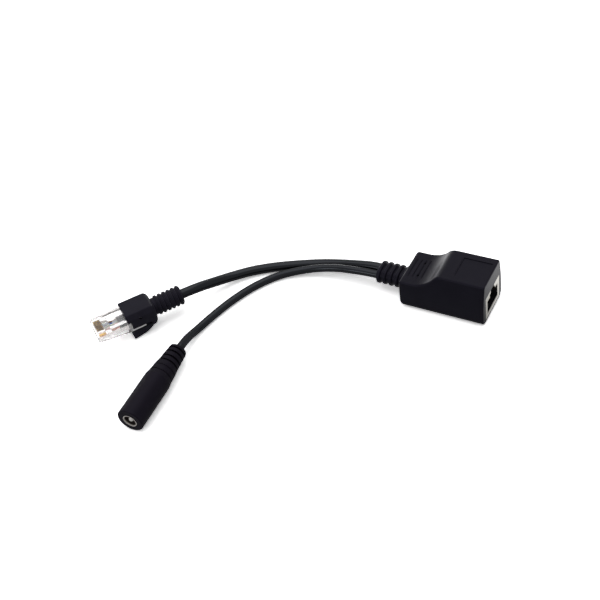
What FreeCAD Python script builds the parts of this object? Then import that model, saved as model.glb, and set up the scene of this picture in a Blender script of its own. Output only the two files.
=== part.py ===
import FreeCAD, Part
import math
import os
import Sketcher

V = FreeCAD.Vector
os.makedirs("parts", exist_ok=True)
doc = FreeCAD.newDocument("PassivePowerCable")
sheet = doc.addObject("Spreadsheet::Sheet", "Sizes")

# Sizes in millimetres, one cell each
sizes = (
    ("block_long", 38.0), ("relief_lip", 1.1), ("high_deck", 20.8), ("low_deck", 14.0),
    ("crest_back", 18.5), ("slope_run", 14.0), ("slope_share", 0.7), ("side_half", 11.1),
    ("top_half", 9.2),
    ("flank_start", 5.5), ("belly_round", 2.9), ("deck_round", 1.0), ("face_round", 0.6),
    ("back_round", 1.2), ("heel_round", 3.4), ("relief_sunk", 2.5),
    ("recess_back", 1.7), ("recess_long", 12.6), ("recess_wide", 11.3), ("recess_deep", 0.28),
    ("grip_count", 4), ("grip_back", 29.4), ("grip_pitch", 2.05), ("grip_thick", 0.5),
    ("grip_wide", 11.2), ("grip_deep", 0.32), ("pit_aside", 4.0), ("pit_wide", 0.9),
    ("pit_deep", 0.9),
    ("relief_up", 6.85), ("core_half", 4.8), ("core_tall", 3.1), ("ring_half", 5.6),
    ("ring_tall", 3.9), ("ring_count", 5), ("ring_first", 1.1), ("ring_pitch", 2.85),
    ("ring_thick", 1.7), ("ring_round", 0.6),
    ("shield_wide", 15.9), ("shield_tall", 11.9), ("shield_up", 1.3), ("shield_long", 18.0),
    ("sheet_thick", 0.3), ("insert_gap", 0.05), ("insert_long", 15.5),
    ("mouth_half", 5.99), ("mouth_low", 3.4), ("mouth_high", 10.3), ("step_half", 3.2),
    ("step_high", 11.7), ("notch_half", 2.0), ("notch_roof", 0.4), ("notch_cut", 1.0),
    ("socket_deep", 13.2), ("slot_lead", 1.4), ("slot_wide", 0.6), ("slot_low", 2.13),
    ("pin_count", 8), ("pin_pitch", 1.02), ("contact_round", 0.2), ("contact_up", 2.35),
    ("contact_tail", 19.0), ("contact_bend", 2.9), ("spring_front", 2.3), ("spring_foot", 3.35),
    ("spring_end", 9.8), ("spring_up", 7.3),
    ("chamber_half", 7.0), ("chamber_low", 1.7), ("chamber_high", 11.5), ("chamber_long", 17.8),
    ("cord_round", 2.25), ("lead_round", 1.8), ("cord_aside", 2.0), ("lead_aside", 2.45),
    ("cord_start", 35.3), ("cord_gap", 0.06),
    ("data_round", 0.45), ("power_round", 0.55), ("core_round", 0.4), ("core_apart", 0.75),
    ("wire_lead", 3.0), ("wire_foot", 3.8), ("power_lead", 2.0), ("splice_lead", 3.0),
    ("core_lead", 3.5), ("core_foot", 1.9),
    ("splice_back", 27.5), ("splice_long", 3.0), ("splice_round", 0.95), ("splice_gap", 0.02),
    ("plug_x", -126.15), ("plug_y", -78.93), ("plug_up", 9.2), ("plug_turn", 55.0),
    ("plug_long", 21.5), ("plug_wide", 11.68), ("plug_tall", 6.2), ("plug_bevel", 2.1), ("bevel_long", 13.4),
    ("tunnel_front", 0.9),
    ("tunnel_long", 6.6), ("tunnel_half", 4.25), ("tunnel_tall", 1.6), ("rear_front", 6.6),
    ("rear_half", 3.6), ("rear_tall", 4.8), ("blade_slot_front", 0.5), ("blade_slot_long", 3.7),
    ("blade_slot_wide", 0.5), ("blade_front", 1.0), ("blade_long", 2.9), ("blade_thick", 0.35),
    ("blade_high", 2.6), ("press_front", 7.0), ("press_long", 2.4), ("press_wide", 5.6),
    ("press_deep", 1.5), ("latch_root", 1.0), ("latch_neck", 2.2), ("latch_bend", 15.4),
    ("latch_end", 23.0), ("latch_thick", 0.9), ("latch_drop", 2.0), ("latch_wide", 6.3),
    ("tongue_wide", 3.26),
    ("wire_round", 0.44), ("wire_front", 1.2), ("wire_level", 0.25), ("wire_straight", 5.2),
    ("wire_meet", 9.2), ("wire_row", 0.52), ("wire_column", 1.0), ("jacket_end", 10.7),
    ("boot_front", 14.0), ("boot_long", 13.5), ("boot_high", 5.6), ("boot_low", 4.2),
    ("boot_flat", 5.1), ("boot_half", 6.65), ("boot_shoulder", 3.1), ("boot_edge", 0.7),
    ("boot_back_round", 2.4), ("cheek_front", 15.5), ("cheek_high", 2.5), ("cheek_low", 1.6),
    ("window_front", 19.4), ("window_long", 1.4), ("window_low", 2.2),
    ("boot_gap", 0.1), ("tail_end", 41.2), ("tail_core", 3.9), ("tail_rib", 4.5), ("collar", 2.9),
    ("rib_first", 29.8), ("rib_count", 6), ("rib_pitch", 2.1), ("rib_thick", 1.3),
    ("rib_edge", 0.4), ("hood_half", 4.7), ("hood_root", 27.4), ("hood_root_low", 2.2),
    ("hood_curve", 11.0), ("hood_knee", 20.0), ("hood_knee_low", 8.2), ("hood_tip", 15.0),
    ("hood_lip", 14.6), ("hood_inside", 6.5), ("hood_back", 24.4), ("hood_wall", 16.3),
    ("hood_wall_low", 4.6), ("hood_channel", 3.6), ("channel_bend", 22.6),
    ("channel_back_low", 5.0),
    ("barrel_x", -84.6), ("barrel_y", -112.52), ("barrel_turn", 93.91), ("barrel_round", 5.8),
    ("barrel_bore", 3.13), ("lead_end", 22.0), ("ring_contact_round", 3.1),
    ("ring_hole", 2.78), ("ring_long", 10.5), ("insulator_long", 4.5), ("pin_round", 1.05),
    ("pin_front", 0.5), ("pin_tail", 18.0), ("tab_wide", 1.6), ("tab_thick", 0.4),
    ("tab_low", 2.9), ("press_gap", 0.03), ("tab_lead", 1.2), ("pin_nose", 0.4),
    ("taper_start", 22.2), ("taper_end", 24.5), ("taper_end_round", 5.35),
    ("seam_wide", 0.4), ("seam_deep", 0.3), ("cone_one_end", 27.4), ("cone_one_round", 5.12),
    ("cone_two_end", 30.4), ("cone_two_round", 4.8), ("groove_wide", 0.8),
    ("rib_a_end", 33.0), ("rib_a_round", 4.65), ("groove_a", 3.3), ("rib_b_end", 35.8),
    ("rib_b_round", 4.45), ("groove_b", 3.1), ("rib_c_end", 38.2), ("rib_c_round", 4.25),
    ("groove_c", 2.9), ("rib_d_end", 40.2), ("rib_d_round", 4.05), ("groove_d", 2.7),
    ("rib_slope", 0.2), ("barrel_long", 41.2), ("barrel_nose", 0.4), ("tail_mouth", 2.1),
    ("plug_run", 43.4), ("lead_run", 43.0), ("core_step", 1.2),
)


class Size:
    # A number together with the sheet formula that gives it
    def __init__(self, text, value):
        self.text = text
        self.value = value

    def join(self, other, sign, value, flip=False):
        word = other.text if isinstance(other, Size) else repr(other)
        pair = (word, self.text) if flip else (self.text, word)
        return Size("(%s %s %s)" % (pair[0], sign, pair[1]), value)

    def __add__(self, other):
        return self.join(other, "+", self.value + number(other))

    def __radd__(self, other):
        return self.join(other, "+", self.value + other, True)

    def __sub__(self, other):
        return self.join(other, "-", self.value - number(other))

    def __rsub__(self, other):
        return self.join(other, "-", other - self.value, True)

    def __mul__(self, other):
        return self.join(other, "*", self.value * number(other))

    def __truediv__(self, other):
        return self.join(other, "/", self.value / number(other))

    def __neg__(self):
        return Size("(0 - %s)" % self.text, -self.value)


def number(thing):
    return thing.value if isinstance(thing, Size) else float(thing)


class Names:
    pass


s = Names()
for row, (word, value) in enumerate(sizes, 1):
    sheet.set("A%d" % row, word)
    sheet.set("B%d" % row, str(value))
    sheet.setAlias("B%d" % row, word)
    setattr(s, word, Size("Sizes." + word, value))
doc.recompute()

# Places that several pieces share
relief_long = s.ring_first + s.ring_pitch * (s.ring_count - 1) + s.relief_lip
mouth = (s.block_long + relief_long) / 2
block_back = mouth - s.block_long
relief_back = -mouth
shield_top = s.shield_up + s.shield_tall
cord_in = mouth - s.cord_start
plug_half = s.plug_tall / 2


def bind(thing, path, size):
    thing.setExpression(path, size.text if isinstance(size, Size) else repr(size))


def body(label):
    made = doc.addObject("PartDesign::Body", label)
    made.Label = label
    return made


class Arc:
    # An edge bent to a radius, side 1 bulges to the left of the way it runs, -1 to the right
    def __init__(self, side, radius=None, middle=None):
        self.side = side
        self.radius = radius
        self.middle = middle


def arc_centre(start, end, arc):
    half = (end - start) / 2
    across = V(-half.y, half.x, 0)
    if arc.radius is None:
        return start + half
    reach = math.sqrt(max(number(arc.radius) ** 2 - half.Length ** 2, 0.0))
    return start + half - across.normalize() * (reach * arc.side)


def loop(drawing, corners):
    # One closed outline, each corner (x, y) or (x, y, Arc) where the arc leads to the next corner
    spots = [V(number(corner[0]), number(corner[1]), 0) for corner in corners]
    first = drawing.GeometryCount
    ends = []
    for place, corner in enumerate(corners):
        start = spots[place]
        end = spots[(place + 1) % len(corners)]
        if len(corner) == 2:
            drawing.addGeometry(Part.LineSegment(start, end), False)
            ends.append((1, 2))
            continue
        arc = corner[2]
        centre = arc_centre(start, end, arc)
        circle = Part.Circle(centre, V(0, 0, 1), (start - centre).Length)
        if arc.side < 0:
            drawing.addGeometry(Part.ArcOfCircle(circle, angle(start - centre), angle(end - centre)), False)
            ends.append((1, 2))
        else:
            drawing.addGeometry(Part.ArcOfCircle(circle, angle(end - centre), angle(start - centre)), False)
            ends.append((2, 1))
    for place, corner in enumerate(corners):
        after = (place + 1) % len(corners)
        drawing.addConstraint(Sketcher.Constraint(
            "Coincident", first + place, ends[place][1], first + after, ends[after][0]))
        fix(drawing, "DistanceX", first + place, ends[place][0], corner[0])
        fix(drawing, "DistanceY", first + place, ends[place][0], corner[1])
        if len(corner) == 3 and corner[2].radius is not None:
            at = drawing.addConstraint(Sketcher.Constraint(
                "Radius", first + place, number(corner[2].radius)))
            bind(drawing, "Constraints[%d]" % at, corner[2].radius)
        if len(corner) == 3 and corner[2].middle is not None:
            fix(drawing, "DistanceX", first + place, 3, corner[2].middle)


def angle(arm):
    return math.atan2(arm.y, arm.x)


def fix(drawing, kind, piece, point, size):
    at = drawing.addConstraint(Sketcher.Constraint(kind, -1, 1, piece, point, number(size)))
    bind(drawing, "Constraints[%d]" % at, size)


def ring(drawing, x, y, radius):
    piece = drawing.addGeometry(Part.Circle(V(number(x), number(y), 0), V(0, 0, 1), number(radius)), False)
    fix(drawing, "DistanceX", piece, 3, x)
    fix(drawing, "DistanceY", piece, 3, y)
    at = drawing.addConstraint(Sketcher.Constraint("Radius", piece, number(radius)))
    bind(drawing, "Constraints[%d]" % at, radius)


def sketch(owner, label, plane, out=0.0):
    # A sketch on one of the body's own planes: side XZ, cross YZ, flat XY, moved out along its normal
    role = {"side": "XZ_Plane", "cross": "YZ_Plane", "flat": "XY_Plane"}[plane]
    drawing = owner.newObject("Sketcher::SketchObject", label)
    drawing.Label = label
    drawing.AttachmentSupport = [([one for one in owner.Origin.OriginFeatures if one.Role == role][0], "")]
    drawing.MapMode = "FlatFace"
    bind(drawing, "AttachmentOffset.Base.z", out)
    return drawing


def block(low_x, high_x, low_y, high_y):
    return [(low_x, low_y), (high_x, low_y), (high_x, high_y), (low_x, high_y)]


def feature(owner, kind, label, drawing, long, midplane=False, reverse=False):
    made = owner.newObject("PartDesign::" + kind, label)
    made.Label = label
    made.Profile = drawing
    made.Midplane = midplane
    made.Reversed = reverse
    bind(made, "Length", long)
    doc.recompute()
    return made


def turned(owner, label, corners, kind="Revolution"):
    drawing = sketch(owner, label + "Profile", "side")
    loop(drawing, corners)
    made = owner.newObject("PartDesign::" + kind, label)
    made.Label = label
    made.Profile = drawing
    made.ReferenceAxis = (drawing, ["H_Axis"])
    made.Angle = 360
    doc.recompute()
    return made


def repeat(owner, label, source, axis, pitch, count, reverse=False):
    made = owner.newObject("PartDesign::LinearPattern", label)
    made.Label = label
    made.Originals = [source]
    made.Direction = (source.Profile[0], [axis])
    made.Reversed = reverse
    owner.Tip = made
    bind(made, "Length", pitch * (count - 1))
    bind(made, "Occurrences", count)
    doc.recompute()
    return made


def rounded(owner, label, radius, picks):
    base = owner.Tip
    made = owner.newObject("PartDesign::Fillet", label)
    made.Label = label
    names = ["Edge%d" % (at + 1) for at, edge in enumerate(base.Shape.Edges) if picks(edge.BoundBox)]
    made.Base = (base, names)
    bind(made, "Radius", radius)
    doc.recompute()
    return made


def near(one, other):
    return abs(one - number(other)) < 0.02


def pose(thing, x, y, z, turn=0.0):
    thing.Placement = FreeCAD.Placement(V(number(x), number(y), number(z)),
                                        FreeCAD.Rotation(V(0, 0, 1), number(turn)))
    for path, size in (("Base.x", x), ("Base.y", y), ("Base.z", z), ("Rotation.Angle", turn)):
        bind(thing, "Placement." + path, size)


def at_plug(thing):
    pose(thing, s.plug_x, s.plug_y, s.plug_up, s.plug_turn)


def at_barrel(thing):
    pose(thing, s.barrel_x, s.barrel_y, s.barrel_round, s.barrel_turn)


def path(points):
    # Straight runs joined by tangent arcs, with the arc radii and the length
    spots = [V(*[number(value) for value in point]) for point in points]
    edges = []
    radii = []
    start = spots[0]
    for place in range(1, len(spots) - 1):
        back = spots[place - 1] - spots[place]
        ahead = spots[place + 1] - spots[place]
        half_turn = (math.pi - back.getAngle(ahead)) / 2
        cut = 0.45 * min(back.Length, ahead.Length)
        radius = cut / math.tan(half_turn)
        first = spots[place] + back.normalize() * cut
        last = spots[place] + ahead.normalize() * cut
        inward = (back + ahead).normalize()
        centre = spots[place] + inward * (radius / math.cos(half_turn))
        edges.append(Part.LineSegment(start, first).toShape())
        edges.append(Part.Arc(first, centre - inward * radius, last).toShape())
        radii.append(radius)
        start = last
    edges.append(Part.LineSegment(start, spots[-1]).toShape())
    return Part.Wire(edges), radii


def tube(label, points, radius):
    line, radii = path(points)
    way = V(*[number(b) - number(a) for a, b in zip(points[0], points[1])])
    start = V(*[number(value) for value in points[0]])
    made = doc.addObject("Part::Feature", label)
    made.Label = label
    rim = Part.Wire(Part.Circle(start, way, number(radius)).toShape())
    made.Shape = line.makePipeShell([rim], True, False)
    section = math.pi * number(radius) ** 2
    if abs(made.Shape.Volume / (section * line.Length) - 1) > 0.01:
        raise ValueError(label + " has a wrong volume")
    return made, line.Length, radii


def opening(top):
    # The socket's outline seen along its axis, with the latch steps at the top
    right = [(s.mouth_half, s.mouth_low), (s.mouth_half, s.mouth_high), (s.step_half, s.mouth_high),
             (s.step_half, s.step_high), (s.notch_half, s.step_high), (s.notch_half, top)]
    return right + [(-across, up) for across, up in reversed(right)]


nodes = []

# Housing overmould with its strain relief
housing = body("housing_overmould")
drop = s.high_deck - s.low_deck
slope_rounds = (s.slope_run * s.slope_run + drop * drop) / (drop * 2)
upper_share = 1.0 - s.slope_share
lower_round = slope_rounds * s.slope_share
flank_tall = s.high_deck - s.flank_start
flank_lean = s.side_half - s.top_half
flank_round = (flank_tall * flank_tall + flank_lean * flank_lean) / (flank_lean * 2)
crest = mouth - s.crest_back
side = sketch(housing, "SideOutline", "side")
slope_foot = crest - s.slope_run
loop(side, [(mouth, 0.0), (mouth, s.high_deck),
            (crest, s.high_deck, Arc(-1, slope_rounds * upper_share)),
            (crest - s.slope_run * upper_share, s.high_deck - drop * upper_share,
             Arc(1, lower_round)),
            (slope_foot, s.low_deck), (block_back, s.low_deck),
            (block_back, s.heel_round, Arc(-1, s.heel_round)), (block_back + s.heel_round, 0.0)])
feature(housing, "Pad", "Block", side, s.side_half * 2, midplane=True)
trim = sketch(housing, "FlankOutline", "cross")
for way in (1, -1):
    belly = s.side_half - s.belly_round
    loop(trim, [(belly * way, -1.0), ((s.side_half + 1) * way, -1.0),
                ((s.side_half + 1) * way, s.high_deck + 1), (s.top_half * way, s.high_deck + 1),
                (s.top_half * way, s.high_deck, Arc(way, flank_round)),
                (s.side_half * way, s.flank_start),
                (s.side_half * way, s.belly_round, Arc(way, s.belly_round)), (belly * way, 0.0)])
flanks = feature(housing, "Pocket", "Flanks", trim, s.block_long * 2, midplane=True)
rounded(housing, "DeckEdges", s.deck_round, lambda box: (
    box.XLength > 0.1 and box.ZMin > number(s.low_deck) - 0.02
    and max(box.YMax, -box.YMin) > number(s.top_half) * 0.9))
rounded(housing, "FaceEdges", s.face_round, lambda box: box.XLength < 0.01 and near(box.XMin, mouth))
rounded(housing, "BackEdges", s.back_round, lambda box: (
    box.XLength < 0.01 and near(box.XMin, block_back) and box.ZMax > number(s.heel_round) + 0.01))


def stadium(drawing, half, tall):
    flat = half - tall
    loop(drawing, [(-flat, s.relief_up - tall), (flat, s.relief_up - tall, Arc(-1, middle=flat)),
                   (flat, s.relief_up + tall), (-flat, s.relief_up + tall, Arc(-1, middle=-flat))])


core = sketch(housing, "ReliefOutline", "cross", block_back + s.relief_sunk)
stadium(core, s.core_half, s.core_tall)
feature(housing, "Pad", "ReliefCore", core, relief_long + s.relief_sunk, reverse=True)
rim = sketch(housing, "RingOutline", "cross", block_back - s.ring_first)
stadium(rim, s.ring_half, s.ring_tall)
first_ring = feature(housing, "Pad", "FirstRing", rim, s.ring_thick, midplane=True)
repeat(housing, "Rings", first_ring, "N_Axis", s.ring_pitch, s.ring_count, reverse=True)
rounded(housing, "RingEdges", s.ring_round, lambda box: (
    box.XLength < 0.01 and box.XMin < number(block_back) - 0.1
    and (near(box.ZMax, s.relief_up + s.ring_tall) or near(box.ZMin, s.relief_up - s.ring_tall))))
deck = sketch(housing, "RecessOutline", "flat", s.high_deck)
loop(deck, block(mouth - s.recess_back - s.recess_long, mouth - s.recess_back,
                 -s.recess_wide / 2, s.recess_wide / 2))
feature(housing, "Pocket", "DeckRecess", deck, s.recess_deep)
grips = sketch(housing, "GripOutlines", "side")
for place in range(int(number(s.grip_count))):
    at = mouth - s.grip_back - s.grip_pitch * place
    climb = at - slope_foot
    floor = s.low_deck - s.grip_deep
    if number(climb) > 0:
        floor = floor + climb * climb / (lower_round * 2)
    loop(grips, block(at - s.grip_thick / 2, at + s.grip_thick / 2, floor, floor + 1.0))
feature(housing, "Pocket", "Grips", grips, s.grip_wide, midplane=True)
pits = sketch(housing, "GripPitOutlines", "flat", s.low_deck + 0.5)
pit_at = mouth - s.grip_back - s.grip_pitch
for across in (s.pit_aside, -s.pit_aside):
    loop(pits, block(pit_at - s.pit_wide / 2, pit_at + s.pit_wide / 2,
                     across - s.pit_wide / 2, across + s.pit_wide / 2))
feature(housing, "Pocket", "GripPits", pits, s.pit_deep + 0.5)
shield_seat = sketch(housing, "ShieldSeatOutline", "cross", mouth)
loop(shield_seat, block(-s.shield_wide / 2, s.shield_wide / 2, s.shield_up, shield_top))
feature(housing, "Pocket", "ShieldSeat", shield_seat, s.shield_long)
chamber = sketch(housing, "ChamberOutline", "cross", mouth - s.shield_long)
loop(chamber, block(-s.chamber_half, s.chamber_half, s.chamber_low, s.chamber_high))
feature(housing, "Pocket", "Chamber", chamber, s.chamber_long)
bores = sketch(housing, "CordBoresOutline", "cross", relief_back)
ring(bores, s.cord_aside, s.relief_up, s.cord_round + s.cord_gap)
ring(bores, -s.lead_aside, s.relief_up, s.lead_round + s.cord_gap)
feature(housing, "Pocket", "CordBores", bores,
        mouth * 2 - s.shield_long - s.chamber_long + s.relief_sunk / 5, reverse=True)
nodes.append(housing)

# Jack: folded shield and moulded insert
shield = body("jack_shield")
sheath = sketch(shield, "ShieldOutline", "cross", mouth)
loop(sheath, block(-s.shield_wide / 2, s.shield_wide / 2, s.shield_up, shield_top))
feature(shield, "Pad", "ShieldBox", sheath, s.shield_long, reverse=True)
inside = sketch(shield, "ShieldInside", "cross", mouth - s.shield_long)
loop(inside, block(s.sheet_thick - s.shield_wide / 2, s.shield_wide / 2 - s.sheet_thick,
                   s.shield_up + s.sheet_thick, shield_top - s.sheet_thick))
feature(shield, "Pocket", "ShieldHollow", inside, s.shield_long - s.sheet_thick, reverse=True)
window = sketch(shield, "ShieldWindow", "cross", mouth)
loop(window, opening(shield_top + 0.5))
feature(shield, "Pocket", "ShieldOpening", window, s.notch_cut)
nodes.append(shield)

insert = body("jack_insert")
around = s.sheet_thick + s.insert_gap
insert_face = mouth - s.sheet_thick
outline = sketch(insert, "InsertOutline", "cross", insert_face)
loop(outline, block(around - s.shield_wide / 2, s.shield_wide / 2 - around,
                    s.shield_up + around, shield_top - around))
feature(insert, "Pad", "InsertBlock", outline, s.insert_long, reverse=True)
socket = sketch(insert, "SocketOutline", "cross", insert_face)
loop(socket, opening(shield_top - around - s.notch_roof))
feature(insert, "Pocket", "Socket", socket, s.socket_deep)
slot = sketch(insert, "SlotOutline", "cross", insert_face - s.slot_lead)
first_pin = s.pin_pitch * (s.pin_count - 1) / 2
loop(slot, block(first_pin - s.slot_wide / 2, first_pin + s.slot_wide / 2, s.slot_low, s.mouth_low + 0.1))
first_slot = feature(insert, "Pocket", "FirstSlot", slot, s.insert_long)
repeat(insert, "Slots", first_slot, "H_Axis", s.pin_pitch, s.pin_count, reverse=True)
nodes.append(insert)

# Jack contacts: along the floor slots, then folded back up into the socket
pins = [first_pin - s.pin_pitch * place for place in range(int(number(s.pin_count)))]
for place, across in enumerate(pins, 1):
    contact = tube("jack_contact_%d" % place, [
        (mouth - s.contact_tail, across, s.contact_up), (mouth - s.contact_bend, across, s.contact_up),
        (mouth - s.spring_front, across, s.spring_foot), (mouth - s.spring_end, across, s.spring_up),
    ], s.contact_round)[0]
    nodes.append(contact)

# Wires in the housing: four for data to the cable, two power pairs spliced to the lead's cores
tail = mouth - s.contact_tail
data_ends = ((1, 3.15, 6.85), (2, 2.3, 5.74), (3, 1.0, 6.28), (6, 1.7, 7.96))
for place, (pin, across, up) in enumerate(data_ends, 1):
    start = pins[pin - 1]
    wire = tube("data_wire_%d" % place, [
        (tail, start, s.contact_up), (tail - s.wire_lead, start, s.contact_up),
        (cord_in + s.wire_foot, across, up), (cord_in, across, up)], s.data_round)[0]
    nodes.append(wire)
splice_at = mouth - s.splice_back
power_ends = ((4, -1.9, 8.4, 1), (7, -3.7, 5.6, -1))
for place, (pin, across, up, way) in enumerate(power_ends, 1):
    start = (pins[pin - 1] + pins[pin]) / 2
    wire = tube("power_wire_%d" % place, [
        (tail, start, s.contact_up), (tail - s.power_lead, start, s.contact_up),
        (splice_at + s.splice_lead, across, up), (splice_at, across, up)], s.power_round)[0]
    level = s.relief_up + s.core_apart * way
    strand = tube("power_core_%d" % place, [
        (splice_at, across, up), (splice_at - s.core_lead, across, up),
        (cord_in + s.core_foot, -s.lead_aside, level), (cord_in, -s.lead_aside, level)], s.core_round)[0]
    sleeve = body("splice_sleeve_%d" % place)
    turned(sleeve, "Sleeve", block(0.0, s.splice_long, s.power_round + s.splice_gap, s.splice_round))
    pose(sleeve, splice_at - s.splice_long / 2, across, up)
    nodes += [wire, strand, sleeve]

# Plug: clear body with its latch, modelled from the middle of its nose
plug = body("plug_body")
shell = sketch(plug, "PlugOutline", "cross")
loop(shell, block(-s.plug_wide / 2, s.plug_wide / 2, -plug_half, plug_half))
feature(plug, "Pad", "PlugBlock", shell, s.plug_long)
bevel = sketch(plug, "BevelOutline", "cross", s.bevel_long)
plug_edge = s.plug_wide / 2
loop(bevel, [(plug_edge - s.plug_bevel, -plug_half), (plug_edge, -plug_half),
             (plug_edge, s.plug_bevel - plug_half)])
loop(bevel, [(-plug_edge, s.plug_bevel - plug_half), (-plug_edge, -plug_half),
             (s.plug_bevel - plug_edge, -plug_half)])
feature(plug, "Pocket", "LowerBevels", bevel, s.bevel_long)
latch_low = -plug_half - s.latch_drop
arm = sketch(plug, "LatchOutline", "side")
loop(arm, [(s.latch_root, 0.2 - plug_half), (s.latch_root, -plug_half - s.latch_thick),
           (s.latch_bend, latch_low - s.latch_thick), (s.latch_bend, latch_low),
           (s.latch_neck, -plug_half), (s.latch_neck, 0.2 - plug_half)])
feature(plug, "Pad", "LatchArm", arm, s.latch_wide, midplane=True)
tongue = sketch(plug, "TongueOutline", "side")
loop(tongue, block(s.latch_bend - 0.3, s.latch_end, latch_low - s.latch_thick, latch_low))
feature(plug, "Pad", "LatchTongue", tongue, s.tongue_wide, midplane=True)
rear = sketch(plug, "RearOutline", "cross", s.plug_long)
loop(rear, block(-s.rear_half, s.rear_half, -s.rear_tall / 2, s.rear_tall / 2))
feature(plug, "Pocket", "RearCavity", rear, s.plug_long - s.rear_front)
tunnel = sketch(plug, "TunnelOutline", "cross", s.tunnel_front + s.tunnel_long)
loop(tunnel, block(-s.tunnel_half, s.tunnel_half, -s.tunnel_tall / 2, s.tunnel_tall / 2))
feature(plug, "Pocket", "WireTunnel", tunnel, s.tunnel_long)
cut = sketch(plug, "BladeSlotOutline", "flat", plug_half)
loop(cut, block(s.blade_slot_front, s.blade_slot_front + s.blade_slot_long,
                first_pin - s.blade_slot_wide / 2, first_pin + s.blade_slot_wide / 2))
first_cut = feature(plug, "Pocket", "FirstBladeSlot", cut, plug_half - s.tunnel_tall / 2 + 0.1)
repeat(plug, "BladeSlots", first_cut, "V_Axis", s.pin_pitch, s.pin_count, reverse=True)
press = sketch(plug, "PressOutline", "flat", plug_half)
loop(press, block(s.press_front, s.press_front + s.press_long, -s.press_wide / 2, s.press_wide / 2))
feature(plug, "Pocket", "PressWindow", press, s.press_deep)
at_plug(plug)
nodes.append(plug)

for place, across in enumerate(reversed(pins)):
    level = s.wire_level if place % 2 == 0 else -s.wire_level
    blade = body("plug_contact_%d" % (place + 1))
    low = level + s.wire_round
    face = sketch(blade, "BladeOutline", "flat", low)
    loop(face, block(s.blade_front, s.blade_front + s.blade_long,
                     across - s.blade_thick / 2, across + s.blade_thick / 2))
    feature(blade, "Pad", "Blade", face, s.blade_high - low)
    at_plug(blade)
    column = s.wire_column * (place // 2 - 1.5)
    row = s.wire_row if place % 2 == 0 else -s.wire_row
    wire = tube("plug_wire_%d" % (place + 1), [
        (s.wire_front, across, level), (s.wire_straight, across, level),
        (s.wire_meet, column, row), (s.jacket_end, column, row)], s.wire_round)[0]
    at_plug(wire)
    nodes += [blade, wire]

# Plug boot: cover, hood under the latch and ribbed tail in one moulding
boot = body("plug_boot")
cover = sketch(boot, "BootOutline", "cross", s.boot_front)
loop(cover, [(-s.boot_half, -s.boot_low), (s.boot_half, -s.boot_low),
             (s.boot_half, s.boot_shoulder), (s.boot_flat, s.boot_high),
             (-s.boot_flat, s.boot_high), (-s.boot_half, s.boot_shoulder)])
feature(boot, "Pad", "BootCover", cover, s.boot_long)
boot_back = s.boot_front + s.boot_long
rounded(boot, "BootLongEdges", s.boot_edge, lambda box: box.XLength > 1)
rounded(boot, "BootBackEdges", s.boot_back_round, lambda box: near(box.XMin, boot_back))
cheek = sketch(boot, "CheekOutline", "side")
ahead = s.boot_front - 1.0
below = -s.boot_low - 1.0
loop(cheek, [(ahead, s.cheek_high), (s.cheek_front, s.cheek_high), (s.cheek_front, -s.cheek_low),
             (s.hood_back, -s.cheek_low), (s.hood_back, below), (ahead, below)])
feature(boot, "Pocket", "Cheeks", cheek, s.boot_half * 4, midplane=True)
hood = sketch(boot, "HoodOutline", "side")
loop(hood, [(s.hood_root, -s.hood_root_low, Arc(1, s.hood_curve)), (s.hood_knee, -s.hood_knee_low),
            (s.hood_tip, -s.plug_up), (s.hood_lip, -s.hood_inside), (s.hood_wall, -s.hood_wall_low),
            (s.hood_back, -s.hood_wall_low), (s.hood_back, -s.hood_root_low)])
feature(boot, "Pad", "Hood", hood, s.hood_half * 2, midplane=True)
channel = sketch(boot, "ChannelOutline", "side")
loop(channel, [(ahead, -s.boot_low), (ahead, -s.hood_inside), (s.channel_bend, -s.hood_inside),
               (s.hood_back, -s.channel_back_low), (s.hood_back, -s.boot_low)])
feature(boot, "Pocket", "LatchChannel", channel, s.hood_channel * 2, midplane=True)
sleeve_start = s.plug_long + 0.3
guard = sketch(boot, "CollarOutline", "cross", sleeve_start)
ring(guard, 0.0, 0.0, s.collar)
feature(boot, "Pad", "Collar", guard, boot_back - sleeve_start)
stem = sketch(boot, "TailOutline", "cross", boot_back - 1.0)
ring(stem, 0.0, 0.0, s.tail_core)
feature(boot, "Pad", "Tail", stem, s.tail_end - boot_back + 1.0)
rib = sketch(boot, "RibOutline", "cross", s.rib_first)
ring(rib, 0.0, 0.0, s.tail_rib)
first_rib = feature(boot, "Pad", "FirstRib", rib, s.rib_thick, midplane=True)
repeat(boot, "Ribs", first_rib, "N_Axis", s.rib_pitch, s.rib_count)
rounded(boot, "RibEdges", s.rib_edge, lambda box: (
    box.XLength < 0.01 and near(box.YLength, s.tail_rib * 2)))
pouch = sketch(boot, "PouchOutline", "cross", s.boot_front)
loop(pouch, block(-s.plug_wide / 2 - s.boot_gap, s.plug_wide / 2 + s.boot_gap,
                  -plug_half - s.boot_gap, plug_half + s.boot_gap))
feature(boot, "Pocket", "Pouch", pouch, s.plug_long - s.boot_front + s.boot_gap, reverse=True)
window = sketch(boot, "WindowOutline", "side")
loop(window, block(s.window_front, s.window_front + s.window_long, s.window_low, plug_half))
feature(boot, "Pocket", "SideWindows", window, s.boot_half * 4, midplane=True)
passage = sketch(boot, "TailBoreOutline", "cross", s.tail_end)
ring(passage, 0.0, 0.0, s.cord_round + s.cord_gap)
feature(boot, "Pocket", "TailBore", passage, s.tail_end - s.plug_long)
at_plug(boot)
nodes.append(boot)

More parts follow.
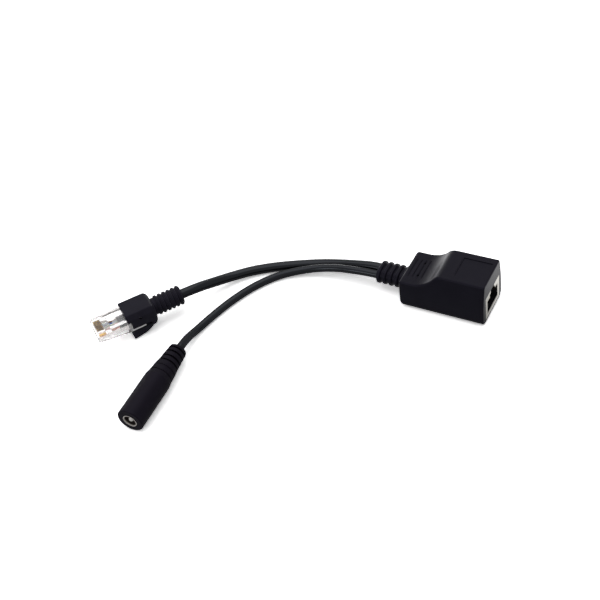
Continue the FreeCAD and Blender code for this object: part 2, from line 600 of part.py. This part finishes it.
# Power socket: overmould, sleeve contact, insulator and pin, modelled from the middle of its face
barrel = body("dc_overmould")
ribs = [(s.cone_two_end, s.cone_two_round)]
steps = ((s.groove_a, s.rib_a_end, s.rib_a_round), (s.groove_b, s.rib_b_end, s.rib_b_round),
         (s.groove_c, s.rib_c_end, s.rib_c_round), (s.groove_d, s.rib_d_end, s.rib_d_round))
begin = s.cone_two_end
for deep, end, radius in steps:
    ribs += [(begin, deep), (begin + s.groove_wide, deep), (begin + s.groove_wide, radius),
             (end, radius - s.rib_slope)]
    begin = end
seam_a = s.taper_end + s.seam_wide
seam_b = s.cone_one_end + s.seam_wide
turned(barrel, "Overmould", [
    (0.0, s.barrel_bore), (0.0, s.barrel_round - s.barrel_nose), (s.barrel_nose, s.barrel_round),
    (s.taper_start, s.barrel_round), (s.taper_end, s.taper_end_round),
    (s.taper_end, s.taper_end_round - s.seam_deep), (seam_a, s.taper_end_round - s.seam_deep),
    (seam_a, s.taper_end_round), (s.cone_one_end, s.cone_one_round),
    (s.cone_one_end, s.cone_one_round - s.seam_deep), (seam_b, s.cone_one_round - s.seam_deep),
    (seam_b, s.cone_one_round)] + ribs + [
    (s.barrel_long, s.tail_mouth), (s.barrel_long, s.lead_round + s.cord_gap),
    (s.lead_end, s.lead_round + s.cord_gap), (s.lead_end, s.barrel_bore)])
at_barrel(barrel)
nodes.append(barrel)

outer = body("dc_sleeve_contact")
turned(outer, "ContactSleeve", block(0.0, s.ring_long, s.ring_hole, s.ring_contact_round))
tab = sketch(outer, "TabOutline", "cross", s.ring_long - s.tab_lead)
loop(tab, block(-s.tab_wide / 2, s.tab_wide / 2, -s.tab_low, s.tab_thick - s.tab_low))
feature(outer, "Pad", "Tab", tab, s.pin_tail - s.ring_long + s.tab_lead)
at_barrel(outer)
nodes.append(outer)

spacer = body("dc_insulator")
spacer_back = s.ring_long + s.insulator_long
turned(spacer, "Spacer", block(s.ring_long, spacer_back, s.pin_round + s.press_gap, s.ring_contact_round))
gate = sketch(spacer, "TabGateOutline", "cross", spacer_back)
loop(gate, block(-s.tab_wide / 2 - s.press_gap, s.tab_wide / 2 + s.press_gap,
                 -s.tab_low - s.press_gap, s.tab_thick - s.tab_low + s.press_gap))
feature(spacer, "Pocket", "TabGate", gate, s.insulator_long)
at_barrel(spacer)
nodes.append(spacer)

centre = body("dc_centre_pin")
turned(centre, "CentrePin", [
    (s.pin_front, 0.0), (s.pin_front, s.pin_round - s.pin_nose), (s.pin_front + s.pin_nose, s.pin_round),
    (s.pin_tail, s.pin_round), (s.pin_tail, 0.0)])
at_barrel(centre)
nodes.append(centre)

tab_middle = s.tab_thick / 2 - s.tab_low
for place, (up, way) in enumerate(((0.0, 1), (tab_middle, -1)), 1):
    strand = tube("dc_conductor_%d" % place, [
        (s.pin_tail, 0.0, up), (s.pin_tail + s.core_step, 0.0, up),
        (s.lead_end - s.core_step, 0.0, s.core_apart * way),
        (s.lead_end, 0.0, s.core_apart * way)], s.core_round)[0]
    at_barrel(strand)
    nodes.append(strand)


def out_from(x, y, up, turn, along):
    reach = math.radians(number(turn))
    far = number(along)
    return (number(x) + far * math.cos(reach), number(y) + far * math.sin(reach), number(up))


# Cords: hand-chosen points from the housing out along the floor
plug_frame = (s.plug_x, s.plug_y, s.plug_up, s.plug_turn)
barrel_frame = (s.barrel_x, s.barrel_y, s.barrel_round, s.barrel_turn)
cord_points = [
    (cord_in, s.cord_aside, s.relief_up), (-30.2, s.cord_aside, s.relief_up),
    (-38.5, 1.6, 5.5), (-47.0, 1.35, 3.8), (-56.0, -0.2, 2.65), (-66.0, -4.1, 2.3),
    (-76.0, -9.1, 2.3), (-84.6, -14.8, 2.35), (-90.3, -21.7, 3.4), (-94.6, -29.4, 5.5),
    (-98.1, -37.0, 7.9), out_from(*plug_frame, s.plug_run), out_from(*plug_frame, s.jacket_end)]
lead_points = [
    (cord_in, -s.lead_aside, s.relief_up), (-30.2, -s.lead_aside, s.relief_up),
    (-38.3, -3.0, 6.5), (-46.5, -2.95, 5.2), (-55.2, -4.5, 3.85), (-64.0, -8.2, 2.7),
    (-71.3, -13.0, 1.87), (-77.3, -21.0, 1.87), (-81.6, -29.6, 1.87), (-84.8, -38.6, 1.87),
    (-87.1, -47.4, 1.87), (-88.6, -55.6, 2.1), (-88.75, -63.0, 3.9),
    out_from(*barrel_frame, s.lead_run), out_from(*barrel_frame, s.lead_end)]
for label, points, radius in (("ethernet_cord", cord_points, s.cord_round),
                              ("dc_lead", lead_points, s.lead_round)):
    cord, long, radii = tube(label, points, radius)
    print(label, "length %.1f" % long, "radii", [round(value, 1) for value in radii])
    nodes.append(cord)

doc.recompute()
for thing in doc.Objects:
    if "Invalid" in thing.State or "Error" in thing.State:
        raise ValueError(thing.Label + " didn't build")
for node in nodes:
    if node.Shape.isNull() or not node.Shape.isValid():
        raise ValueError(node.Label + " has no valid shape")
    node.Shape.exportStep("parts/%s.step" % node.Label)
print(len(nodes), "nodes written")
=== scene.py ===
import bpy
import math
from mathutils import Matrix, Vector


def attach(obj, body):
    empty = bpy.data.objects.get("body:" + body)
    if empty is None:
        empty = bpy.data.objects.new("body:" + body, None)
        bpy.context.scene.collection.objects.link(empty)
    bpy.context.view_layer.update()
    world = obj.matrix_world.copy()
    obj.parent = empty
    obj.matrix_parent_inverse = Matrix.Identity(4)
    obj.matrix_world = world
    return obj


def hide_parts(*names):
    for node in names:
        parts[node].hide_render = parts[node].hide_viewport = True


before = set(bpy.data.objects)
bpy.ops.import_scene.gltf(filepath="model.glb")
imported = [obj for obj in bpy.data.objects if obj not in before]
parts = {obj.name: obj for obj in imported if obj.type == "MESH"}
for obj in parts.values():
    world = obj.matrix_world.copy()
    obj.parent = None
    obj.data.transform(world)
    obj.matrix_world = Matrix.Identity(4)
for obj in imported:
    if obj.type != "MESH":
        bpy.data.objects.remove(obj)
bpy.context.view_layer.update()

# Where the loose ends lie: middle of the plug's nose and of the power socket's face, and which way they point
plugEnd = {"nose": (-0.12615, -0.07893, 0.0092), "turn": 55.0}
powerEnd = {"nose": (-0.0846, -0.11252, 0.0058), "turn": 93.91}


def behind(end, distance):
    # a point on the end's axis, a distance behind its front
    turn = math.radians(end["turn"])
    x, y, z = end["nose"]
    return (x + distance * math.cos(turn), y + distance * math.sin(turn), z)


# Camera
view = {
    "place": (0.1292, -0.2817, 0.29808),
    "right": (0.87547, 0.4624368, -0.1403728),
    "up": (-0.2326081, 0.6578169, 0.7163591),
    "forward": (-0.4236104, 0.5944991, -0.6834655),
    "lens": 58.79, "sensor": 36.0, "nearest": 0.01, "farthest": 20.0,
}
cameraData = bpy.data.cameras.new("camera")
camera = bpy.data.objects.new("camera", cameraData)
bpy.context.collection.objects.link(camera)
cameraData.sensor_width = view["sensor"]
cameraData.lens = view["lens"]
cameraData.clip_start = view["nearest"]
cameraData.clip_end = view["farthest"]
turnTo = Matrix((view["right"], view["up"], [-part for part in view["forward"]])).transposed()
camera.matrix_world = Matrix.Translation(view["place"]) @ turnTo.to_4x4()
bpy.context.scene.camera = camera
bpy.context.scene.view_settings.view_transform = "Standard"
print("camera placed")


# Shader helpers
class Value:
    # a shader socket that can stand in a sum
    def __init__(self, finish, socket):
        self.finish = finish
        self.socket = socket

    def maths(self, operation, other=0.0, swapped=False):
        first, second = (other, self) if swapped else (self, other)
        return self.finish.node("ShaderNodeMath", {"operation": operation}, {0: first, 1: second})

    def __add__(self, other):
        return self.maths("ADD", other)

    def __radd__(self, other):
        return self.maths("ADD", other, True)

    def __sub__(self, other):
        return self.maths("SUBTRACT", other)

    def __rsub__(self, other):
        return self.maths("SUBTRACT", other, True)

    def __mul__(self, other):
        return self.maths("MULTIPLY", other)

    def __rmul__(self, other):
        return self.maths("MULTIPLY", other, True)

    def __truediv__(self, other):
        return self.maths("DIVIDE", other)

    def __rtruediv__(self, other):
        return self.maths("DIVIDE", other, True)


class Finish:
    # one material or sky, with its fixed values on the shader's own sockets
    def __init__(self, name, tree=None, **fixed):
        self.material = None
        if tree is None:
            self.material = bpy.data.materials.new(name)
            self.material.use_nodes = True
            tree = self.material.node_tree
        self.tree = tree
        self.shader = next((one for one in tree.nodes if one.type == "BSDF_PRINCIPLED"), None)
        for socket, value in fixed.items():
            self.shader.inputs[socket.replace("_", " ")].default_value = value

    def node(self, kind, settings=None, sockets=None, out=0):
        made = self.tree.nodes.new(kind)
        for key, value in (settings or {}).items():
            if key == "stops":
                ramp = made.color_ramp.elements
                while len(ramp) < len(value):
                    ramp.new(0.5)
                for stop, (place, colour) in zip(ramp, value):
                    stop.position = place
                    stop.color = (*colour, 1.0) if hasattr(colour, "__len__") else (colour,) * 3 + (1.0,)
            else:
                setattr(made, key, value)
        for key, value in (sockets or {}).items():
            if isinstance(value, Value):
                self.tree.links.new(value.socket, made.inputs[key])
            else:
                made.inputs[key].default_value = value
        return Value(self, made.outputs[out])

    def feed(self, socket, value):
        self.tree.links.new(value.socket, self.shader.inputs[socket])

    def show(self, shader):
        # sends a shader to the material's or the world's output
        output = next(one for one in self.tree.nodes if one.type.startswith("OUTPUT"))
        self.tree.links.new(shader.socket, output.inputs["Surface"])

    def place(self):
        return self.node("ShaderNodeTexCoord", out="Object")

    def rays(self):
        # which kind of ray looks at the surface
        kinds = ("Camera", "Glossy", "Transmission")
        return {kind: self.node("ShaderNodeLightPath", out="Is %s Ray" % kind) for kind in kinds}

    def axis(self, place, letter):
        return self.node("ShaderNodeSeparateXYZ", {}, {0: place}, out=letter)

    def along(self, end):
        # how far a point of the surface lies behind a loose end's front
        place = self.place()
        turn = math.radians(end["turn"])
        x, y = end["nose"][:2]
        return (self.axis(place, "X") - x) * math.cos(turn) + (self.axis(place, "Y") - y) * math.sin(turn)

    def noise(self, size, detail=2.0, place=None, stretch=None):
        # cloudy noise whose blobs are about size metres across
        where = place or self.place()
        if stretch:
            where = self.node("ShaderNodeMapping", {}, {"Vector": where, "Scale": stretch})
        return self.node("ShaderNodeTexNoise", {}, {"Vector": where, "Scale": 1.0 / size, "Detail": detail})

    def ramp(self, value, *stops):
        return self.node("ShaderNodeValToRGB", {"stops": stops}, {"Fac": value})

    def blend(self, mask, first, second):
        return self.node("ShaderNodeMix", {"data_type": "RGBA"}, {0: mask, 6: first, 7: second}, out=2)

    def bump(self, height, depth, strength=1.0):
        self.feed("Normal", self.node("ShaderNodeBump", {}, {
            "Height": height, "Distance": depth, "Strength": strength}))


def rgba(colour):
    return (*colour, 1.0)


# Black mouldings: soft cloudy tone, fine spark-eroded grain, a parting line where the halves of the mould met
blackMoulds = {
    "housing_overmould": {
        "dark": (0.0052, 0.0047, 0.0087), "light": (0.0081, 0.0075, 0.0126), "patch": 0.011,
        "rough": (0.34, 0.44), "grain": 0.00028, "depth": 0.000022, "parting": 0.0069,
        "shine": 0.14,
    },
    "plug_boot": {
        "dark": (0.0108, 0.01, 0.0155), "light": (0.0168, 0.016, 0.0235), "patch": 0.007,
        "rough": (0.46, 0.58), "grain": 0.00024, "depth": 0.000018, "parting": 0.0092,
        "shine": 0.14,
    },
    "dc_overmould": {
        "dark": (0.0046, 0.0032, 0.0066), "light": (0.0074, 0.0056, 0.0102), "patch": 0.008,
        "rough": (0.44, 0.55), "grain": 0.00026, "depth": 0.00002, "parting": 0.0057,
        "shine": 0.15,
    },
    "jack_insert": {
        "dark": (0.007, 0.007, 0.0078), "light": (0.012, 0.012, 0.013), "patch": 0.004,
        "rough": (0.3, 0.42), "grain": 0.0002, "depth": 0.000008, "parting": None,
        "shine": 0.3,
    },
    "dc_insulator": {
        "dark": (0.016, 0.009, 0.008), "light": (0.026, 0.015, 0.013), "patch": 0.002,
        "rough": (0.3, 0.4), "grain": 0.0002, "depth": 0.000006, "parting": None,
        "shine": 0.35,
    },
}
mouldSkin = {
    "sheen": (0.8, 0.76, 1.0), "patchShare": 0.7, "grainShare": 0.3, "darkTo": 0.3, "lightFrom": 0.72,
    "lineSharp": 4000.0, "lineHeight": 0.9,
}


def mouldedBlack(name, look):
    finish = Finish(name, Specular_IOR_Level=look["shine"], Specular_Tint=rgba(mouldSkin["sheen"]))
    place = finish.place()
    patches = finish.noise(look["patch"], detail=3.0, place=place)
    grain = finish.noise(look["grain"], detail=3.0, place=place)
    tone = patches * mouldSkin["patchShare"] + grain * mouldSkin["grainShare"]
    finish.feed("Base Color", finish.ramp(
        tone, (mouldSkin["darkTo"], look["dark"]), (mouldSkin["lightFrom"], look["light"])))
    low, high = look["rough"]
    finish.feed("Roughness", patches * (high - low) + low)
    height = grain
    if look["parting"] is not None:
        # a hair of flash stands proud at one level all round
        away = (finish.axis(place, "Z") - look["parting"]).maths("ABSOLUTE")
        line = finish.ramp(away * mouldSkin["lineSharp"], (0.0, 1.0), (1.0, 0.0))
        height = grain + line * mouldSkin["lineHeight"]
    finish.bump(height, look["depth"])
    return finish.material


# Metals
metals = {
    "jack_shield": {
        "dark": (0.36, 0.345, 0.31), "light": (0.52, 0.5, 0.455), "rough": (0.2, 0.36),
        "stretch": (1.0, 0.05, 1.0), "streak": 0.0004, "depth": 0.000006,
    },
    "contacts": {
        "dark": (0.7, 0.52, 0.25), "light": (0.93, 0.75, 0.42), "rough": (0.16, 0.3),
        "stretch": (0.2, 1.0, 1.0), "streak": 0.0003, "depth": 0.000004,
    },
    "blades": {
        "dark": (0.42, 0.2, 0.02), "light": (0.95, 0.62, 0.13), "rough": (0.18, 0.34),
        "stretch": (1.0, 1.0, 1.0), "streak": 0.0011, "depth": 0.000006,
    },
    "dc_sleeve_contact": {
        "dark": (0.72, 0.66, 0.62), "light": (0.94, 0.9, 0.85), "rough": (0.24, 0.38),
        "stretch": (1.0, 0.15, 1.0), "streak": 0.0004, "depth": 0.000005, "metallic": 0.55,
        # the next line paints shade inside the bore: darker further in from the mouth
        "end": powerEnd, "boreShadeFrom": 0.0003, "boreShadeOver": 0.0004, "boreShade": (0.07, 0.055, 0.05),
    },
    "dc_centre_pin": {
        "dark": (0.66, 0.64, 0.6), "light": (0.9, 0.89, 0.86), "rough": (0.12, 0.24),
        "stretch": (1.0, 0.2, 1.0), "streak": 0.0003, "depth": 0.000004, "metallic": 0.5,
        # the next line paints shade inside the bore: darker further in from the mouth
        "end": powerEnd, "boreShadeFrom": 0.0009, "boreShadeOver": 0.0012, "boreShade": (0.16, 0.14, 0.13),
    },
    "splices": {
        "dark": (0.5, 0.5, 0.5), "light": (0.78, 0.78, 0.77), "rough": (0.3, 0.5),
        "stretch": (0.4, 1.0, 1.0), "streak": 0.0005, "depth": 0.00001,
    },
}
metalSkin = {"detail": 4.0, "darkTo": 0.25, "lightFrom": 0.7}


def drawnMetal(name, look):
    finish = Finish(name, Metallic=look.get("metallic", 1.0))
    streaks = finish.noise(look["streak"], detail=metalSkin["detail"], stretch=look["stretch"])
    colour = finish.ramp(streaks, (metalSkin["darkTo"], look["dark"]), (metalSkin["lightFrom"], look["light"]))
    if "boreShade" in look:
        # metal's own colour at the mouth, blended into a dark painted shade further into the bore
        inward = finish.along(look["end"]) - look["boreShadeFrom"]
        paintedBoreShade = finish.ramp(inward / look["boreShadeOver"], (0.0, 0.0), (1.0, 1.0))
        colour = finish.blend(paintedBoreShade, colour, rgba(look["boreShade"]))
    finish.feed("Base Color", colour)
    low, high = look["rough"]
    finish.feed("Roughness", streaks * (high - low) + low)
    finish.bump(streaks, look["depth"])
    return finish.material


# Clear moulding of the plug
clear = {
    "tint": (0.985, 0.972, 0.968), "milky": 0.1, "rough": (0.04, 0.12), "ripple": 0.0021, "depth": 0.00002,
    "ior": 1.54, "rippleStrength": 0.6,
    # the values on this line and the next paint a white highlight low down at the back of the body
    "highlightTop": 0.0079, "topSharp": 2000.0, "highlightFrom": 0.0142, "fromSharp": 700.0, "paintedHighlight": 0.8,
    "highlightWhite": (0.92, 0.92, 0.92),
}


def clearMoulding(name, look):
    finish = Finish(name, Transmission_Weight=1.0 - look["milky"], IOR=look["ior"], Base_Color=rgba(look["tint"]))
    ripple = finish.noise(look["ripple"])
    low, high = look["rough"]
    finish.feed("Roughness", ripple * (high - low) + low)
    finish.bump(ripple, look["depth"], look["rippleStrength"])
    # low down at the back the body and the latch's free end are blended towards white diffuse, a painted highlight
    height = finish.axis(finish.place(), "Z")
    along = finish.along(plugEnd)
    under = finish.ramp((look["highlightTop"] - height) * look["topSharp"], (0.0, 0.0), (1.0, 1.0))
    paintedHighlight = finish.ramp((along - look["highlightFrom"]) * look["fromSharp"], (0.0, 0.0), (1.0, look["paintedHighlight"])) * under
    white = finish.node("ShaderNodeBsdfDiffuse", {}, {"Color": rgba(look["highlightWhite"])})
    clearSide = Value(finish, finish.shader.outputs[0])
    finish.show(finish.node("ShaderNodeMixShader", {}, {0: paintedHighlight, 1: clearSide, 2: white}))
    return finish.material


# Wire insulation: a colour, and on half of them a stripe wound round
wires = {
    "whiteOrange": {"main": (0.82, 0.56, 0.53), "stripe": (0.72, 0.27, 0.16)},
    "orange": {"main": (0.72, 0.2, 0.13), "stripe": None},
    "whiteGreen": {"main": (0.66, 0.76, 0.64), "stripe": (0.08, 0.34, 0.13)},
    "blue": {"main": (0.06, 0.13, 0.42), "stripe": None},
    "whiteBlue": {"main": (0.66, 0.7, 0.8), "stripe": (0.07, 0.15, 0.45)},
    "green": {"main": (0.05, 0.3, 0.1), "stripe": None},
    "whiteBrown": {"main": (0.72, 0.66, 0.6), "stripe": (0.24, 0.12, 0.06)},
    "brown": {"main": (0.2, 0.09, 0.045), "stripe": None},
    "red": {"main": (0.45, 0.02, 0.015), "stripe": None},
    "black": {"main": (0.012, 0.012, 0.013), "stripe": None},
}
wireSkin = {
    "pitch": 0.0032, "bandScale": 0.3, "wander": 0.4, "stripeFrom": 0.72, "stripeFull": 0.8,
    "rough": (0.28, 0.4), "grain": 0.0006, "depth": 0.000008, "fade": 0.86, "darkTo": 0.3, "lightFrom": 0.7,
}


def wireInsulation(name, look):
    finish = Finish(name)
    place = finish.place()
    grain = finish.noise(wireSkin["grain"], place=place)
    main = look["main"]
    faded = tuple(part * wireSkin["fade"] for part in main)
    colour = finish.ramp(grain, (wireSkin["darkTo"], faded), (wireSkin["lightFrom"], main))
    if look["stripe"]:
        bands = finish.node("ShaderNodeTexWave", {"wave_type": "BANDS", "bands_direction": "DIAGONAL"}, {
            "Vector": place, "Scale": wireSkin["bandScale"] / wireSkin["pitch"], "Distortion": wireSkin["wander"]})
        wound = finish.ramp(bands, (wireSkin["stripeFrom"], 0.0), (wireSkin["stripeFull"], 1.0))
        colour = finish.blend(wound, colour, rgba(look["stripe"]))
    finish.feed("Base Color", colour)
    low, high = wireSkin["rough"]
    finish.feed("Roughness", grain * (high - low) + low)
    finish.bump(grain, wireSkin["depth"])
    return finish.material


# Cord jacket: satin, with the faint ripple of the wires inside
jackets = {
    "ethernetCord": {"dark": (0.0028, 0.0028, 0.0036), "light": (0.0044, 0.0044, 0.0058), "rough": (0.15, 0.23)},
    "powerLead": {"dark": (0.0034, 0.0035, 0.005), "light": (0.0056, 0.0058, 0.008), "rough": (0.17, 0.26)},
}
jacketSkin = {
    "patch": 0.004, "grain": 0.0004, "patchShare": 0.6, "grainShare": 0.4, "darkTo": 0.3, "lightFrom": 0.7,
    "grainHeight": 0.5, "depth": 0.000022, "shine": 0.42, "sheen": (0.84, 0.9, 1.0),
}


def cordJacket(name, look):
    finish = Finish(name, Specular_IOR_Level=jacketSkin["shine"], Specular_Tint=rgba(jacketSkin["sheen"]))
    place = finish.place()
    patches = finish.noise(jacketSkin["patch"], detail=3.0, place=place)
    grain = finish.noise(jacketSkin["grain"], place=place)
    tone = patches * jacketSkin["patchShare"] + grain * jacketSkin["grainShare"]
    finish.feed("Base Color", finish.ramp(
        tone, (jacketSkin["darkTo"], look["dark"]), (jacketSkin["lightFrom"], look["light"])))
    low, high = look["rough"]
    finish.feed("Roughness", patches * (high - low) + low)
    finish.bump(grain * jacketSkin["grainHeight"] + patches, jacketSkin["depth"])
    return finish.material


def wear(name, material):
    piece = parts[name]
    for slot in piece.material_slots:
        slot.material = material
    if not piece.material_slots:
        piece.data.materials.append(material)


for name, look in blackMoulds.items():
    wear(name, mouldedBlack(name + "Finish", look))
for name in ("jack_shield", "dc_sleeve_contact", "dc_centre_pin"):
    wear(name, drawnMetal(name + "Finish", metals[name]))
gold = drawnMetal("goldContact", metals["contacts"])
bladeGold = drawnMetal("bladeGold", metals["blades"])
tinned = drawnMetal("tinnedSleeve", metals["splices"])
wear("plug_body", clearMoulding("clearPlug", clear))
insulation = {name: wireInsulation(name + "Wire", look) for name, look in wires.items()}
pinColours = ("whiteOrange", "orange", "whiteGreen", "blue", "whiteBlue", "green", "whiteBrown", "brown")
for count, colour in enumerate(pinColours, 1):
    wear("jack_contact_%d" % count, gold)
    wear("plug_contact_%d" % count, bladeGold)
    wear("plug_wire_%d" % count, insulation[colour])
inside = {
    "data_wire_1": "whiteOrange", "data_wire_2": "orange", "data_wire_3": "whiteGreen", "data_wire_4": "green",
    "power_wire_1": "blue", "power_wire_2": "brown", "power_core_1": "red", "power_core_2": "black",
    "dc_conductor_1": "red", "dc_conductor_2": "black",
}
for name, colour in inside.items():
    wear(name, insulation[colour])
for name in ("splice_sleeve_1", "splice_sleeve_2"):
    wear(name, tinned)
print("finishes on")


# Cords: smooth lines through the same points as the solid ones
cords = {
    "ethernetCord": {
        "solid": "ethernet_cord", "diameter": 0.0045, "length": 0.1457,
        "leaves": (-0.0258, 0.002, 0.00685), "on": "plug_",
        "points": [
            (-0.0095, 0.002, 0.00685), (-0.0218, 0.002, 0.00685), (-0.0302, 0.002, 0.00685),
            (-0.0385, 0.0016, 0.0055), (-0.047, 0.00135, 0.0038), (-0.056, -0.0002, 0.00265),
            (-0.066, -0.0041, 0.0023), (-0.076, -0.0091, 0.0023), (-0.0846, -0.0148, 0.00235),
            (-0.0903, -0.0217, 0.0034), (-0.0946, -0.0294, 0.0055), (-0.0981, -0.037, 0.0079),
            behind(plugEnd, 0.0434), behind(plugEnd, 0.0361), behind(plugEnd, 0.0107),
        ],
    },
    "powerLead": {
        "solid": "dc_lead", "diameter": 0.0036, "length": 0.1463,
        "leaves": (-0.0258, -0.00245, 0.00685), "on": "dc_",
        "points": [
            (-0.0095, -0.00245, 0.00685), (-0.0221, -0.00245, 0.00685), (-0.0302, -0.00245, 0.00685),
            (-0.0383, -0.003, 0.0065), (-0.0465, -0.00295, 0.0052), (-0.0552, -0.0045, 0.00385),
            (-0.064, -0.0082, 0.0027), (-0.0713, -0.013, 0.00187), (-0.0773, -0.021, 0.00187),
            (-0.0816, -0.0296, 0.00187), (-0.0848, -0.0386, 0.00187), (-0.0871, -0.0474, 0.00187),
            (-0.0886, -0.0556, 0.0021), (-0.08875, -0.063, 0.0039),
            behind(powerEnd, 0.043), behind(powerEnd, 0.036), behind(powerEnd, 0.022),
        ],
    },
}
smooth = {"stepsAlong": 16, "stepsRound": 8}
for name, look in cords.items():
    line = bpy.data.curves.new(name, "CURVE")
    line.dimensions = "3D"
    line.resolution_u = smooth["stepsAlong"]
    line.bevel_depth = look["diameter"] / 2
    line.bevel_resolution = smooth["stepsRound"]
    line.use_fill_caps = True
    spline = line.splines.new("NURBS")
    spline.points.add(len(look["points"]) - 1)
    for point, spot in zip(spline.points, look["points"]):
        point.co = (*spot, 1.0)
    spline.order_u = 3
    spline.use_endpoint_u = True
    piece = bpy.data.objects.new(name, line)
    bpy.context.collection.objects.link(piece)
    piece.data.materials.append(cordJacket(name + "Jacket", jackets[name]))
    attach(piece, "root")
    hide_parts(look["solid"])
    riders = [parts[one] for one in sorted(parts) if one.startswith(look["on"]) and one != look["solid"]]
print("cords laid")


# Floor, backdrop and light
studio = {
    "floorTone": 0.8,  # lights the object
    "seenTone": 2.2, "floorGlow": 0.21,  # seen by the camera and through the clear plug
    "mirrorTone": 0.24, "frontShine": 0.14, "backShine": 3.2,  # seen in reflections, brighter towards the back
    "shineFrom": -0.012, "shineTo": 0.075,
    "skyFill": 0.4, "skyShine": 0.48, "skySeen": 1.0, "skyColour": (1.0, 1.0, 1.0),
    "floorSize": 6.0, "aim": (-0.03, -0.03, 0.0),
    "key": {"place": (-0.2, 0.12, 1.1), "size": (1.4, 1.4), "power": 5.8},
    "low": {"place": (-0.75, 0.6, 0.16), "size": (0.9, 0.24), "power": 0.35},
    "side": {"place": (-0.35, -0.9, 0.3), "size": (0.4, 0.3), "power": 0.9},
}
bpy.ops.mesh.primitive_plane_add(size=studio["floorSize"], location=(0.0, 0.0, 0.0))
floor = bpy.context.object
floor.name = "floor"
ground = Finish("floorWhite")
matt, seenMatt, mirrorMatt = (
    ground.node("ShaderNodeBsdfDiffuse", {}, {"Color": rgba((studio[tone],) * 3)})
    for tone in ("floorTone", "seenTone", "mirrorTone"))
glow, frontGlow, backGlow = (
    ground.node("ShaderNodeEmission", {}, {"Strength": studio[strength]})
    for strength in ("floorGlow", "frontShine", "backShine"))
back = ground.axis(ground.place(), "Y") - studio["shineFrom"]
rise = ground.ramp(back / (studio["shineTo"] - studio["shineFrom"]), (0.0, 0.0), (1.0, 1.0))
mirrorGlow = ground.node("ShaderNodeMixShader", {}, {0: rise, 1: frontGlow, 2: backGlow})
mirrored = ground.node("ShaderNodeAddShader", {}, {0: mirrorMatt, 1: mirrorGlow})
seen = ground.node("ShaderNodeAddShader", {}, {0: seenMatt, 1: glow})
ray = ground.rays()
unseen = ground.node("ShaderNodeMixShader", {}, {0: ray["Glossy"], 1: matt, 2: mirrored})
ground.show(ground.node("ShaderNodeMixShader", {}, {
    0: ray["Camera"].maths("MAXIMUM", ray["Transmission"]), 1: unseen, 2: seen}))
floor.data.materials.append(ground.material)

world = bpy.data.worlds.new("studio")
bpy.context.scene.world = world
world.use_nodes = True
sky = Finish("sky", tree=world.node_tree)
ray = sky.rays()
fill, shine, plain = (
    sky.node("ShaderNodeBackground", {}, {"Color": rgba(studio["skyColour"]), "Strength": studio[strength]})
    for strength in ("skyFill", "skyShine", "skySeen"))
lit = sky.node("ShaderNodeMixShader", {}, {0: ray["Glossy"], 1: fill, 2: shine})
sky.show(sky.node("ShaderNodeMixShader", {}, {
    0: ray["Camera"].maths("MAXIMUM", ray["Transmission"]), 1: lit, 2: plain}))

for name in ("key", "low", "side"):
    look = studio[name]
    light = bpy.data.lights.new(name + "Light", "AREA")
    light.shape = "RECTANGLE"
    light.size, light.size_y = look["size"]
    light.energy = look["power"]
    lamp = bpy.data.objects.new(name + "Light", light)
    bpy.context.collection.objects.link(lamp)
    lamp.location = look["place"]
    aim = Vector(studio["aim"]) - Vector(look["place"])
    lamp.rotation_mode = "QUATERNION"
    lamp.rotation_quaternion = aim.to_track_quat("-Z", "Y")
print("floor and light set")
